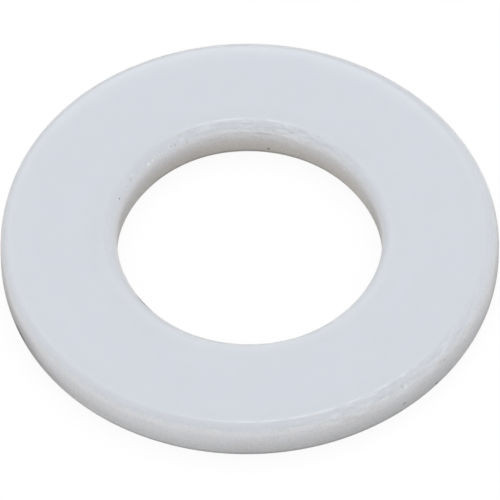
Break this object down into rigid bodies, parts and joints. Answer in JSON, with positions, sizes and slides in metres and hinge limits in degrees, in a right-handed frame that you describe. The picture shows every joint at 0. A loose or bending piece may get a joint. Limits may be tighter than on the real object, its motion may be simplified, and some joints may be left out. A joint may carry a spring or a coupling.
{
  "type": "washer",
  "caption": "Flat round washer moulded in natural white nylon, with softly rounded edges and a clearance bore for a 10 mm bolt.",
  "frame": {"origin": "centre of the bottom face, on the axis of the bore", "axes": "+Z along the bore, from the bottom face to the top face; X and Y lie in the bottom face"},
  "size_m": [0.02, 0.02, 0.0018],
  "materials": {
    "nylon": "natural milky white nylon, as moulded, with a soft satin sheen"
  },
  "bodies": {
    "root": {"washer": "nylon"}
  },
  "joints": []
}
